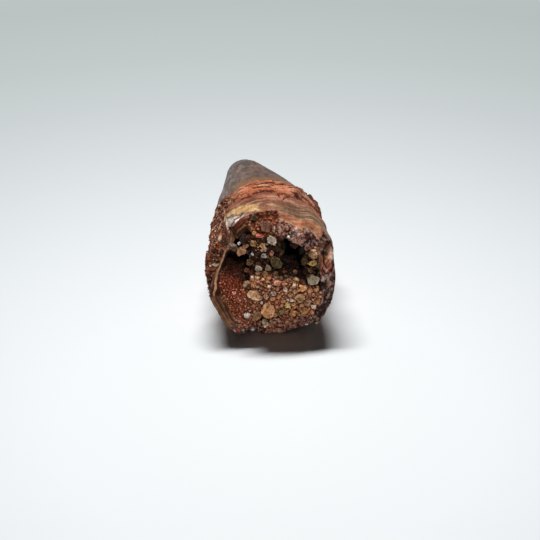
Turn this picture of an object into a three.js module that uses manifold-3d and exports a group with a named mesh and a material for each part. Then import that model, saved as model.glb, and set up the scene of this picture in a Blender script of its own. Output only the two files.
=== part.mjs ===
// A fossil Spinosaurus tooth lying on its side: the broken root faces -Y, the worn tip points to +Y.
// All sizes are millimetres. Places on the tooth are given by three numbers:
//   s      distance along the curved centreline from the broken end,
//   angle  direction round the centreline, 0 to the right (+X) and 90 degrees up, seen from the root,
//   radius distance from the centreline (heights are pressed flatter by sectionRatio).
import * as THREE from 'three';
import { mergeVertices } from 'three/addons/utils/BufferGeometryUtils.js';
import Module from 'manifold-3d';

const wasm = await Module();
wasm.setup();

// driving dimensions
const toothLength = 58.4;
const halfBend = THREE.MathUtils.degToRad(7.35); // the centreline turns by twice this to the left
const sectionRatio = 0.95; // height of the section over its width
const startX = -0.83; // place of the broken end's centre
const startY = -28.97;

const neckRadius = 8.72; // where the root meets the crown
const rootSwell = 0.9; // the root bulges by this much ...
const rootSwellAt = 5.5; // ... at this distance from the break
const rootSwellReach = 8;
const heelBulge = 0.3; // the lower left corner of the root stands out, and so does its right side
const cheekBulge = 0.35;
const crownTaper = 0.17; // radius lost per millimetre of crown
const tipRadius = 3.25;
const tipRoundFrom = 55; // the worn tip is rounded off from here
const fluteCount = 36;
const fluteDepth = 0.14;
const crownFrom = 22;

const rootHeight = 8.97; // height of the centreline over the table in the root
const crownHeightFall = 0.173; // it comes down by this much per millimetre of crown
const crownFallFrom = 19.4;

const breakRise = 9.6; // the break is cut back by this much at the top
const breakPower = 1.6;
const bottomChip = 1.7;
const spallDepth = 1.45; // the outside of the left wall has flaked off
const spallFrom = 131;
const spallTo = 187;
const notchFrom = 83; // a piece of the upper wall is missing between these angles
const notchTo = 112;
const notchInset = 2; // degrees between a side of the notch and the sandstone in it
const notchFillRadius = 9.1;
const bevelRight = 2.8; // the wall's face leans in by this much at the upper right
const bevelLeft = 1.9;

const cavityMouth = 7.25; // radius of the pulp cavity
const cavityEnd = 20.5;
const gap = 0.3; // clearance between the tooth and its sandstone

const flushDepth = 2.0; // depth of the sandstone below the middle of the cavity
const massDepth = 6.6; // depth of the middle mass
const ledgeHeight = 0.8; // the low part ends in a ledge at this height over the centreline
const ledgeArch = 0.03;
const notchFoot = 5.6; // above this height the sandstone leans back towards the notch
const notchLean = 0.62;
const hollows = [
  { u: 4.0, v: 1.7, halfWidth: 3.1, halfHeight: 4, depth: 14.5 },
  { u: -5.0, v: 1.9, halfWidth: 2.0, halfHeight: 3.7, depth: 12.5 },
];

const crustTop = 21.8; // the crust ends in a raised margin at the crown
const crustThickness = 0.36;
const crustEdge = 0.22;
const crustLump = 0.13;

// coarse sandstone grains: place across the cavity and radius
const granules = [
  { u: -0.6, v: 7.3, radius: 1.1 },
  { u: 0.7, v: 5.3, radius: 0.75 },
  { u: 0.45, v: 1.7, radius: 1.1 },
  { u: -1.5, v: 0.9, radius: 0.55 },
  { u: -1.0, v: 3.3, radius: 0.5 },
  { u: -2.4, v: 4.6, radius: 0.5 },
  { u: -2.2, v: 2.2, radius: 0.5 },
  { u: -4.3, v: 5.3, radius: 0.65 },
  { u: -5.4, v: 5.0, radius: 0.5 },
  { u: 6.9, v: -0.9, radius: 0.95 },
  { u: -2.1, v: -2.2, radius: 1.0 },
  { u: 0.1, v: -4.2, radius: 1.05 },
  { u: -1.6, v: -5.2, radius: 0.8 },
  { u: -3.6, v: -5.4, radius: 0.5 },
  { u: 4.7, v: -2.6, radius: 0.7 },
  { u: 0.4, v: -2.3, radius: 0.5 },
  { u: 2.5, v: -3.7, radius: 0.45 },
  { u: 5.6, v: -4.1, radius: 0.6 },
  { u: 3.4, v: -5.3, radius: 0.6 },
  { u: -4.6, v: -2.4, radius: 0.45 },
];

// how finely the surfaces are divided
const columns = 72;
const outerRings = 25;
const rimRings = 4;
const cavityRings = 7;
const crustOuterRings = 7;
const crustInnerRings = 6;
const reliefCells = 22;

const reliefHalfSize = 9.75;
const bendRadius = toothLength / (2 * halfBend);

function smooth(from, to, value) {
  return THREE.MathUtils.smoothstep(value, from, to);
}

function degrees(angle) {
  return THREE.MathUtils.euclideanModulo(THREE.MathUtils.radToDeg(angle), 360);
}

// 1 between two angles in degrees, falling to 0 over the given softness outside them
function sector(angle, from, to, softness) {
  const middle = (from + to) / 2;
  const away = Math.abs(THREE.MathUtils.euclideanModulo(degrees(angle) - middle + 180, 360) - 180);
  return 1 - smooth((to - from) / 2, (to - from) / 2 + softness, away);
}

function softMinimum(a, b, softness) {
  return -softness * Math.log(Math.exp(-a / softness) + Math.exp(-b / softness));
}

// smooth radius of the tooth without flutes, flakes or breaks
function toothRadius(s) {
  const cone = tipRadius + crownTaper * (55 - s);
  const swell = rootSwell * Math.exp(-(((s - rootSwellAt) / rootSwellReach) ** 2));
  const tip = THREE.MathUtils.clamp((s - tipRoundFrom) / (toothLength - tipRoundFrom), 0, 1);
  return (softMinimum(neckRadius, cone, 0.4) + swell) * Math.sqrt(Math.max(0, 1 - tip ** 2.6));
}

function outerRadius(s, angle) {
  const spall = spallDepth * sector(angle, spallFrom, spallTo, 9) * (1 - smooth(9.5, 14.5, s));
  const fluteReach = smooth(crownFrom, crownFrom + 5, s) * (1 - smooth(50, 56, s));
  const flute = fluteDepth * fluteReach * (0.5 - 0.5 * Math.cos(fluteCount * angle));
  const heel = heelBulge * sector(angle, 232, 240, 14) * (1 - smooth(2, 9, s));
  const cheek = cheekBulge * sector(angle, -15, 20, 35) * (1 - smooth(6, 12, s));
  return toothRadius(s) + heel + cheek - spall - flute;
}

function cavityRadius(s, angle) {
  const thickTop = 0.6 * sector(angle, 45, 90, 30);
  const wideRight = 0.3 * sector(angle, 345, 375, 30);
  const taper = Math.sqrt(Math.max(0, 1 - (Math.max(s, 0) / cavityEnd) ** 2.4));
  return (cavityMouth - thickTop + wideRight) * taper;
}

// a point of the tooth from its distance along the centreline and its place across it
function place(s, across, up) {
  const heading = -halfBend + (2 * halfBend * s) / toothLength;
  const x = bendRadius * (Math.cos(heading) - Math.cos(halfBend));
  const y = bendRadius * (Math.sin(heading) + Math.sin(halfBend));
  const fall = rootHeight - crownHeightFall * (s - crownFallFrom);
  const z = softMinimum(rootHeight, fall, 0.2) + up;
  return new THREE.Vector3(x + across * Math.cos(heading), y + across * Math.sin(heading), Math.max(z, 0));
}

function placeRound(s, angle, radius) {
  return place(s, radius * Math.cos(angle), radius * Math.sin(angle) * sectionRatio);
}

// how far back the outer edge of the break lies
function breakLine(angle) {
  const tilt = breakRise * ((1 + Math.sin(angle)) / 2) ** breakPower;
  const chip = bottomChip * sector(angle, 256, 298, 12);
  const ragged = 0.14 * Math.sin(9 * angle + 0.6) + 0.1 * Math.sin(17 * angle + 2.1);
  return 0.25 + tilt + chip + ragged;
}

// the broken face of the wall, from its inner edge (share 0) to its outer edge (share 1)
function rimDepth(angle, share) {
  const whole = 1 - sector(angle, notchFrom, notchTo, 0.5);
  const lean = bevelRight * sector(angle, 15, 84, 55) + bevelLeft * sector(angle, 108, 128, 20);
  return breakLine(angle) - lean * whole * (1 - smooth(0.6, 1, share));
}

// a closed surface through rings of points, with a single point at each end
function closedStack(startPoint, rings, endPoint) {
  const count = rings[0].length;
  const points = [startPoint, ...rings.flat(), endPoint];
  const faces = [];
  const at = (ring, column) => 1 + ring * count + (column % count);
  for (let column = 0; column < count; column += 1) {
    faces.push(0, at(0, column), at(0, column + 1));
    faces.push(at(rings.length - 1, column), points.length - 1, at(rings.length - 1, column + 1));
    for (let ring = 0; ring + 1 < rings.length; ring += 1) {
      const near = [at(ring, column), at(ring, column + 1)];
      const far = [at(ring + 1, column), at(ring + 1, column + 1)];
      faces.push(near[0], far[0], far[1], near[0], far[1], near[1]);
    }
  }
  return new THREE.BufferGeometry().setFromPoints(points).setIndex(faces);
}

function evenAngle(column) {
  return (2 * Math.PI * column) / columns;
}

// evenly spread columns, with a pair drawn close together at each side of the notch
function angleOf(column, inset) {
  const atSides = {
    [Math.floor((notchFrom / 360) * columns)]: notchFrom - 0.8 + inset,
    [Math.ceil((notchFrom / 360) * columns)]: notchFrom + 0.8 + inset,
    [Math.floor((notchTo / 360) * columns)]: notchTo - 0.8 - inset,
    [Math.ceil((notchTo / 360) * columns)]: notchTo + 0.8 - inset,
  };
  return column in atSides ? THREE.MathUtils.degToRad(atSides[column]) : evenAngle(column);
}

function ringOf(pointAt, inset = 0) {
  return Array.from({ length: columns }, (unused, column) => pointAt(angleOf(column, inset)));
}

function shares(count) {
  return Array.from({ length: count }, (unused, index) => index / (count - 1));
}

function toothGeometry() {
  const rings = [];
  for (let ring = 1; ring <= cavityRings; ring += 1) {
    const inward = Math.cos((Math.PI / 2) * (ring / cavityRings));
    rings.push(ringOf((angle) => {
      const mouth = rimDepth(angle, 0);
      const s = mouth + (cavityEnd - mouth) * inward ** 1.2;
      return placeRound(s, angle, cavityRadius(s, angle));
    }));
  }
  for (let ring = 1; ring < rimRings; ring += 1) {
    const share = ring / rimRings;
    rings.push(ringOf((angle) => {
      const s = rimDepth(angle, share);
      const inner = cavityRadius(s, angle);
      return placeRound(s, angle, inner + share * (outerRadius(s, angle) - inner));
    }));
  }
  for (const share of shares(outerRings)) {
    const along = Math.sin((Math.PI / 2) * share * 0.985) ** 1.12;
    rings.push(ringOf((angle) => {
      const edge = breakLine(angle);
      const s = edge + (toothLength - edge) * along;
      return placeRound(s, angle, outerRadius(s, angle));
    }));
  }
  return closedStack(placeRound(cavityEnd, 0, 0), rings, placeRound(toothLength, 0, 0));
}

function toSolid(geometry) {
  const bare = geometry.clone();
  bare.deleteAttribute('normal');
  bare.deleteAttribute('uv');
  const merged = mergeVertices(bare, 1e-5);
  return new wasm.Manifold(new wasm.Mesh({
    numProp: 3,
    vertProperties: new Float32Array(merged.attributes.position.array),
    triVerts: new Uint32Array(merged.index.array),
  }));
}

function toGeometry(solid) {
  const mesh = solid.getMesh();
  const geometry = new THREE.BufferGeometry();
  geometry.setAttribute('position', new THREE.BufferAttribute(new Float32Array(mesh.vertProperties), 3));
  geometry.setIndex(new THREE.BufferAttribute(new Uint32Array(mesh.triVerts), 1));
  return geometry;
}

// depth of the sandstone's surface across the cavity
function fillDepth(across, up) {
  const ledge = ledgeHeight - ledgeArch * across * across;
  const step = smooth(ledge - 0.6, ledge + 0.5, up);
  let depth = THREE.MathUtils.lerp(flushDepth, massDepth, step);
  depth += notchLean * Math.max(0, up - notchFoot);
  for (const hollow of hollows) {
    const reach = ((across - hollow.u) / hollow.halfWidth) ** 4 + ((up - hollow.v) / hollow.halfHeight) ** 4;
    depth = THREE.MathUtils.lerp(hollow.depth, depth, smooth(0.45, 1.3, reach));
  }
  return depth + 0.12 * Math.sin(2.6 * across + 1) * Math.sin(2.9 * up);
}

// a block whose front follows the sandstone's relief
function reliefBlock() {
  const side = reliefCells + 1;
  const points = [];
  for (const back of [false, true]) {
    for (const row of shares(side)) {
      for (const column of shares(side)) {
        const across = reliefHalfSize * (2 * column - 1);
        const up = reliefHalfSize * (2 * row - 1);
        points.push(place(back ? cavityEnd + 4 : fillDepth(across, up), across, up));
      }
    }
  }
  const at = (row, column, back) => (back ? side * side : 0) + row * side + column;
  const faces = [];
  for (let row = 0; row < reliefCells; row += 1) {
    for (let column = 0; column < reliefCells; column += 1) {
      for (const back of [false, true]) {
        const corners = [at(row, column, back), at(row, column + 1, back),
          at(row + 1, column + 1, back), at(row + 1, column, back)];
        if (back) corners.reverse();
        faces.push(corners[0], corners[1], corners[2], corners[0], corners[2], corners[3]);
      }
    }
  }
  const edge = [];
  for (let step = 0; step < reliefCells; step += 1) edge.push([0, step]);
  for (let step = 0; step < reliefCells; step += 1) edge.push([step, reliefCells]);
  for (let step = reliefCells; step > 0; step -= 1) edge.push([reliefCells, step]);
  for (let step = reliefCells; step > 0; step -= 1) edge.push([step, 0]);
  edge.forEach(([row, column], index) => {
    const [nextRow, nextColumn] = edge[(index + 1) % edge.length];
    const near = [at(row, column, false), at(nextRow, nextColumn, false)];
    const far = [at(row, column, true), at(nextRow, nextColumn, true)];
    faces.push(near[0], far[0], far[1], near[0], far[1], near[1]);
  });
  return new THREE.BufferGeometry().setFromPoints(points).setIndex(faces);
}

// the room that sandstone can take: the cavity, and the notch in the wall above it
function coreGeometry() {
  const roomRadius = (s, angle) => {
    const cavity = cavityRadius(s, angle) - gap;
    const notch = sector(angle, notchFrom + notchInset, notchTo - notchInset, 0.5);
    return THREE.MathUtils.lerp(cavity, notchFillRadius, notch * (1 - smooth(9, 9.4, s)));
  };
  const depths = [-2, 0, 3, 6, 8, 9, 9.4, 11, 13.5, 16, 18, 19.4];
  const rings = depths.map((s) => ringOf((angle) => placeRound(s, angle, roomRadius(s, angle)), notchInset));
  return closedStack(placeRound(depths[0], 0, 0), rings, placeRound(cavityEnd - 0.5, 0, 0));
}

function granuleGeometry(granule, index) {
  const geometry = new THREE.IcosahedronGeometry(granule.radius, granule.radius > 0.6 ? 1 : 0);
  geometry.scale(1, 0.8, 0.85);
  geometry.rotateY(index * 1.9);
  geometry.rotateX(0.3 * Math.sin(index * 2.3));
  const depth = fillDepth(granule.u, granule.v) + 0.2 * granule.radius;
  const centre = place(depth, granule.u, granule.v);
  geometry.translate(centre.x, centre.y, centre.z);
  return geometry;
}

function fillGeometry() {
  let solid = toSolid(reliefBlock());
  granules.forEach((granule, index) => {
    solid = solid.add(toSolid(granuleGeometry(granule, index)));
  });
  return toGeometry(solid.intersect(toSolid(coreGeometry())));
}

// where the crust begins: near the break on the left, halfway up the root elsewhere
function crustStart(angle) {
  const left = sector(angle, 142, 190, 28);
  const wavy = 13.3 + 0.4 * Math.sin(3 * angle) + 0.2 * Math.sin(8 * angle + 1);
  return THREE.MathUtils.lerp(wavy, breakLine(angle) + 0.5, left);
}

function crustEnd(angle) {
  return crustTop + 0.2 * Math.sin(5 * angle + 1) + 0.15 * Math.sin(12 * angle);
}

function crustGeometry() {
  const loops = [];
  for (const share of shares(crustOuterRings)) {
    loops.push(ringOf((angle) => {
      const start = crustStart(angle);
      const s = THREE.MathUtils.lerp(start, crustEnd(angle), share);
      const lumps = crustLump * Math.sin(7 * angle + 0.9 * s) * Math.sin(1.3 * s + 4 * angle);
      const front = smooth(0, 2.4, s - start + 0.3);
      const back = smooth(0, 2.5, crustEnd(angle) - s);
      const low = 0.3 * sector(angle, 172, 225, 14) * (1 - smooth(4, 10, s));
      const inner = outerRadius(s, angle) + gap;
      const outer = toothRadius(s) + gap + crustEdge + (crustThickness - crustEdge + lumps) * back - low;
      return placeRound(s, angle, THREE.MathUtils.lerp(inner + crustEdge, outer, front));
    }));
  }
  for (const share of shares(crustInnerRings)) {
    loops.push(ringOf((angle) => {
      const s = THREE.MathUtils.lerp(crustEnd(angle), crustStart(angle), share);
      return placeRound(s, angle, outerRadius(s, angle) + gap);
    }));
  }
  const points = loops.flat();
  const faces = [];
  loops.forEach((loop, ring) => {
    const next = (ring + 1) % loops.length;
    for (let column = 0; column < columns; column += 1) {
      const beside = (column + 1) % columns;
      const near = [ring * columns + column, ring * columns + beside];
      const far = [next * columns + column, next * columns + beside];
      faces.push(near[0], far[0], far[1], near[0], far[1], near[1]);
    }
  });
  return new THREE.BufferGeometry().setFromPoints(points).setIndex(faces);
}

function piece(name, geometry, color, roughness) {
  geometry.computeVertexNormals();
  const material = new THREE.MeshStandardMaterial({ color, roughness, metalness: 0 });
  const mesh = new THREE.Mesh(geometry, material);
  mesh.name = name;
  return mesh;
}

const fossil = new THREE.Group();
fossil.add(piece('tooth', toothGeometry(), 0x7a6558, 0.5));
fossil.add(piece('sandstone_fill', fillGeometry(), 0x6c3f2a, 0.9));
fossil.add(piece('sandstone_crust', crustGeometry(), 0x8e4f36, 0.9));
fossil.position.set(startX, startY, 0);

export default fossil;
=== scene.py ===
# A fossil Spinosaurus tooth on a pale table: worn crown, broken hollow root, red sandstone in and round it.
# Shapes are worked out in millimetres. A place on the tooth is its distance s along the curved centreline from
# the broken end, an angle round the centreline (0 to the right, 90 degrees up) and a radius.
import bpy
import bmesh
import math
import numpy as np
from functools import partial
from mathutils import Matrix, Vector


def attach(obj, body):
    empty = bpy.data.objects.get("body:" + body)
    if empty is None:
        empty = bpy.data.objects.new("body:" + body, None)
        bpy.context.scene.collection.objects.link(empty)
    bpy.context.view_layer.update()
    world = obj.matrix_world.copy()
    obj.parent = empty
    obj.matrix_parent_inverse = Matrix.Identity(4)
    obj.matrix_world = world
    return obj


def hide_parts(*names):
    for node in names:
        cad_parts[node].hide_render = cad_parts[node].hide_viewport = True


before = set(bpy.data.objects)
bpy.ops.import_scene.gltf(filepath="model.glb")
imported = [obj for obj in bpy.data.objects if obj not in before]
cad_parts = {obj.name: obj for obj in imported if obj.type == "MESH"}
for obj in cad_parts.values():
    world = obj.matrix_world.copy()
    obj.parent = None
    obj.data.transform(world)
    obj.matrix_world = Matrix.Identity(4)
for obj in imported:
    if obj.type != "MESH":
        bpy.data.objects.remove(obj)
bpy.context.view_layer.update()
print("frame loaded, pieces:", sorted(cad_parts))

millimetre = 0.001


# hex sRGB text to linear numbers: c/12.92 below 0.04045, ((c+0.055)/1.055)^2.4 above
def linear(hexText):
    channels = np.array([int(hexText[at:at + 2], 16) for at in (1, 3, 5)]) / 255
    return np.where(channels <= 0.04045, channels / 12.92, ((channels + 0.055) / 1.055) ** 2.4)


def linear4(hexText):
    return (*[float(channel) for channel in linear(hexText)], 1)


# t*t*(3-2t), with t going from 0 to 1 between two values; it falls where the first value is the greater
def smooth(start, end, value):
    t = np.clip((value - start) / (end - start), 0, 1)
    return t * t * (3 - 2 * t)


# 1 between two angles in degrees, falling to 0 over the softness outside them
def sector(angle, start, end, softness):
    away = np.abs((np.degrees(angle) - (start + end) / 2 + 180) % 360 - 180)
    return 1 - smooth((end - start) / 2, (end - start) / 2 + softness, away)


# sum of heights, each full in its own sector; a row is height, two angles and softness
def bumps(angle, rows):
    return sum(height * sector(angle, *edges) for height, *edges in rows)


# the same, with two values of s at the end of each row between which its height goes down to 0
def endingBumps(s, angle, rows):
    return sum(height * sector(angle, *edges) * smooth(until, ends, s) for height, *edges, ends, until in rows)


# 1 in the middle of a band of the given half width, 0 at its edges and beyond
def band(value, middle, halfWidth):
    return 1 - smooth(0, 1, np.abs(value - middle) / halfWidth)


# the lesser of two values with a rounded change: -k ln(e^(-a/k) + e^(-b/k))
def softMinimum(a, b, k):
    return -k * np.log(np.exp(-a / k) + np.exp(-b / k))


def mix(a, b, share):
    return a + (b - a) * share


def pointsOf(x, y, z):
    return np.stack(np.broadcast_arrays(x, y, z), -1)


def unit(vectors):
    return vectors / np.linalg.norm(vectors, axis=-1, keepdims=True)


cellFactors = np.array([374761393, 668265263, 1103515245])
seedFactor = 40503
wordMask = 0xffffffff
cellsFromOrigin = 200    # keeps every cell's place above 0


# a fixed number between 0 and 1 for every whole-numbered cell: its place times large odd numbers, bits folded
def cellNumber(cell, seed):
    mixed = (cell @ cellFactors + seed * seedFactor) & wordMask
    for shift, factor in ((13, 1274126177), (16, 668265263)):
        mixed = ((mixed ^ (mixed >> shift)) * factor) & wordMask
    return ((mixed ^ (mixed >> 15)) & 0xffffff) / float(0xffffff)


# smooth noise from -1 to 1: corner numbers of a cubic lattice, blended by t*t*(3-2t) along each axis
def noise(points, size, seed):
    scaled = points / size + cellsFromOrigin
    base = np.floor(scaled).astype(np.int64)
    part = scaled - base
    part = part * part * (3 - 2 * part)
    total = 0
    for corner in np.ndindex(2, 2, 2):
        weight = 1
        for axis in range(3):
            weight = weight * (part[..., axis] if corner[axis] else 1 - part[..., axis])
        total = total + weight * cellNumber(base + np.array(corner), seed)
    return 2 * total - 1


# noise of halving size and strength, added up
def layeredNoise(points, size, seed, layers=3):
    return sum(0.5 ** layer * noise(points, size * 0.5 ** layer, seed + 17 * layer) for layer in range(layers))


# distance to the nearest of scattered centres in cell widths, how much further the next is, and its own number
def pebbles(points, size, seed):
    scaled = points / size + cellsFromOrigin
    base = np.floor(scaled).astype(np.int64)
    nearest = np.full(scaled.shape[:-1], 9.0)
    second = nearest.copy()
    number = np.zeros_like(nearest)
    for corner in np.ndindex(3, 3, 3):
        cell = base + np.array(corner) - 1
        shift = np.stack([cellNumber(cell, seed + axis) for axis in (1, 2, 3)], -1)
        away = np.linalg.norm(scaled - cell - 0.1 - 0.8 * shift, axis=-1)
        second = np.where(away < nearest, nearest, np.minimum(second, away))
        number = np.where(away < nearest, cellNumber(cell, seed + 9), number)
        nearest = np.minimum(nearest, away)
    return nearest, second - nearest, number


# colours laid over each other in a zone: a layer is a hex colour and its strength, and if it follows a pattern,
# the two values between which it fades in, and the pattern
def paint(colour, zone, layers):
    for hexText, strength, *fade in layers:
        mask = strength * zone * (smooth(*fade) if fade else 1)
        colour = colour + (linear(hexText) - colour) * np.clip(mask, 0, 1)[..., None]
    return colour


toothShape = {
    "length": 58.4,
    "halfBend": 7.35,              # degrees; the centreline turns by twice this
    "sectionRatio": 0.95,
    "startX": -0.83,
    "startY": -28.97,
    "neckRadius": 8.72,
    "rootSwell": 0.9,
    "swellAt": 5.5,
    "swellReach": 8,
    "crownTaper": 0.19,
    "tipRadius": 3.7,
    "tipFrom": 51,
    "tipPower": 1.8,
    "crownShift": -0.55,           # over the first stretch, half of it back over the second
    "shiftOver": (16, 32),
    "shiftBackOver": (42, 56),
    "fluteCount": 36,
    "fluteDepth": 0.14,
    "crownFrom": 22,
    "rootHeight": 8.97,
    "crownFall": 0.144,
    "fallFrom": 19.4,
    "rootBulges": [(-1.6, 148, 163, 34, 9.5, 14.5), (0.3, 232, 240, 14, 2, 9), (0.35, -15, 20, 35, 6, 12)],
    "breakRise": 9.6,
    "breakChips": [(2.6, 251, 308, 14), (0.9, 28, 46, 16)],
    "breakWaves": [(0.14, 9, 0.6), (0.1, 17, 2.1)],
    # angles left of the notch, and how far the layers stand back there at the wall's inner and outer edge
    "innerFlakes": ([112.5, 113, 116, 123, 130, 137, 141, 145], [0, -1.2, -1.1, -0.3, 0.5, 1.6, 2.3, 0]),
    "outerFlakes": ([112.5, 118, 123, 128, 132, 137, 141, 145], [0, 0.2, 0.6, 1.4, 2.4, 3.8, 4.8, 0]),
    "cavityMouth": 7.25,
    "mouthBumps": [(-0.6, 45, 90, 30), (0.5, 335, 375, 25), (0.4, 144, 166, 12)],
    "cavityEnd": 20.5,
    "columns": 360,
    "cavityRings": 30,
    "rimRings": 46,
    "outerRings": 186,
}

halfBend = math.radians(toothShape["halfBend"])
bendRadius = toothShape["length"] / (2 * halfBend)


# a point from its distance along the centreline, an arc, and its place across it, kept above the table
def place(s, across, up):
    heading = -halfBend + 2 * halfBend * s / toothShape["length"]
    shift = smooth(*toothShape["shiftOver"], s) - 0.5 * smooth(*toothShape["shiftBackOver"], s)
    x = bendRadius * (np.cos(heading) - math.cos(halfBend)) + across * np.cos(heading)
    x = x + toothShape["crownShift"] * shift
    y = bendRadius * (np.sin(heading) + math.sin(halfBend)) + across * np.sin(heading)
    fall = toothShape["rootHeight"] - toothShape["crownFall"] * (s - toothShape["fallFrom"])
    z = softMinimum(toothShape["rootHeight"], fall, 0.2) + up
    return pointsOf(x + toothShape["startX"], y + toothShape["startY"], np.maximum(z, 0))


def placeRound(s, angle, radius):
    return place(s, radius * np.cos(angle), radius * np.sin(angle) * toothShape["sectionRatio"])


# lesser of a cylinder and a cone, a bell-shaped swelling at the root, and sqrt(1-t^1.8) at the tip
def toothRadius(s):
    cone = toothShape["tipRadius"] + toothShape["crownTaper"] * (toothShape["tipFrom"] - s)
    swell = toothShape["rootSwell"] * np.exp(-(((s - toothShape["swellAt"]) / toothShape["swellReach"]) ** 2))
    t = np.clip((s - toothShape["tipFrom"]) / (toothShape["length"] - toothShape["tipFrom"]), 0, 1)
    tip = np.sqrt(1 - t ** toothShape["tipPower"])
    return (softMinimum(toothShape["neckRadius"], cone, 0.4) + swell) * tip


# tooth radius with the root's bulges, its flaked left wall and a cheek that grows along the right, less the
# cosine flutes of the crown
def outerRadius(s, angle):
    reach = smooth(toothShape["crownFrom"], toothShape["crownFrom"] + 5, s) * smooth(56, 50, s)
    flute = toothShape["fluteDepth"] * reach * (0.5 - 0.5 * np.cos(toothShape["fluteCount"] * angle))
    cheek = (0.2 + 0.75 * smooth(3, 9, s)) * sector(angle, 26, 48, 15) * smooth(18, 13, s)
    return toothRadius(s) + endingBumps(s, angle, toothShape["rootBulges"]) + cheek - flute


# mouth radius with a thicker wall on top, times sqrt(1-(s/end)^2.4)
def cavityRadius(s, angle):
    mouth = toothShape["cavityMouth"] + bumps(angle, toothShape["mouthBumps"])
    return mouth * np.sqrt(np.clip(1 - (np.maximum(s, 0) / toothShape["cavityEnd"]) ** 2.4, 0, None))


# a tilted plane through the tube: rise*((1+sin)/2)^1.6, chips at the bottom and the upper right, ragged sines
def breakLine(angle):
    tilt = toothShape["breakRise"] * ((1 + np.sin(angle)) / 2) ** 1.6
    waves = sum(height * np.sin(count * angle + start) for height, count, start in toothShape["breakWaves"])
    return 0.25 + tilt + bumps(angle, toothShape["breakChips"]) + waves


# the broken face from its inner edge (share 0) to its outer edge (share 1): it leans in on the right of the
# notch, and on the left the outer layers are flaked back up to a step down to the thin sheet
def rimDepth(angle, share):
    lean = 2.6 * sector(angle, 58, 84, 38) * (1 - sector(angle, 83, 112, 0.5)) * (1 - share) ** 0.8
    turn = np.degrees(angle) % 360
    innerBack, outerBack = (np.interp(turn, *toothShape[key]) for key in ("innerFlakes", "outerFlakes"))
    return breakLine(angle) - lean + mix(innerBack, outerBack, share)


# edges of the thin dentine layers on top of the root, as s for an angle in degrees
def tanBandTop(turn):
    return 12.5 + 0.092 * (turn - 96)


def tanBandBottom(turn):
    return 10.4 + 0.105 * (turn - 103)


def ringPoints(angle):
    return pointsOf(9 * np.cos(angle), 9 * np.sin(angle), 0)


# quads between rings that run round the axis; closed joins the last ring to the first
def ringQuads(ringCount, columnCount, first=0, closed=False):
    index = first + np.arange(ringCount * columnCount).reshape(ringCount, columnCount)
    following = np.roll(index, -1, 0)
    quads = np.stack([index, following, np.roll(following, -1, 1), np.roll(index, -1, 1)], -1)
    return quads[:ringCount - (not closed)].reshape(-1, 4)


# a mesh object from points in millimetres, its faces, and point attributes of colour or number
def makePiece(name, points, faceLists, attributes, smoothFaces=True):
    mesh = bpy.data.meshes.new(name)
    faces = [face for faceArray in faceLists for face in faceArray.tolist()]
    mesh.from_pydata((points * millimetre).tolist(), [], faces)
    for key, values in attributes.items():
        if values.ndim == 2:
            attribute = mesh.attributes.new(key, "FLOAT_COLOR", "POINT")
            rgba = np.concatenate([np.clip(values, 0, 1), np.ones((len(values), 1))], 1)
            attribute.data.foreach_set("color", rgba.astype(np.float32).ravel())
        else:
            attribute = mesh.attributes.new(key, "FLOAT", "POINT")
            attribute.data.foreach_set("value", values.astype(np.float32))
    mesh.polygons.foreach_set("use_smooth", np.full(len(mesh.polygons), smoothFaces))
    mesh.update()
    piece = bpy.data.objects.new(name, mesh)
    bpy.context.scene.collection.objects.link(piece)
    return piece


# a closed piece from a stack of rings with a fan to a pole at each end; turned swaps the side that faces out
def makeStack(name, startPole, rings, endPole, attributes, turned=False):
    ringCount, columnCount = rings.shape[:2]
    around = 1 + np.arange(columnCount)
    beside = np.roll(around, -1)
    last = (ringCount - 1) * columnCount
    start = pointsOf(0, around, beside)
    end = pointsOf(last + around, last + columnCount + 1, last + beside)
    faces = [ringQuads(ringCount, columnCount, 1), start, end]
    if turned:
        faces = [face[:, ::-1] for face in faces]
    points = np.concatenate([startPole, rings.reshape(-1, 3), endPole])
    attributes = {key: np.concatenate([values[:1, 0], values.reshape(-1, *values.shape[2:]), values[-1:, 0]])
                  for key, values in attributes.items()}
    return makePiece(name, points, faces, attributes)


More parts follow.
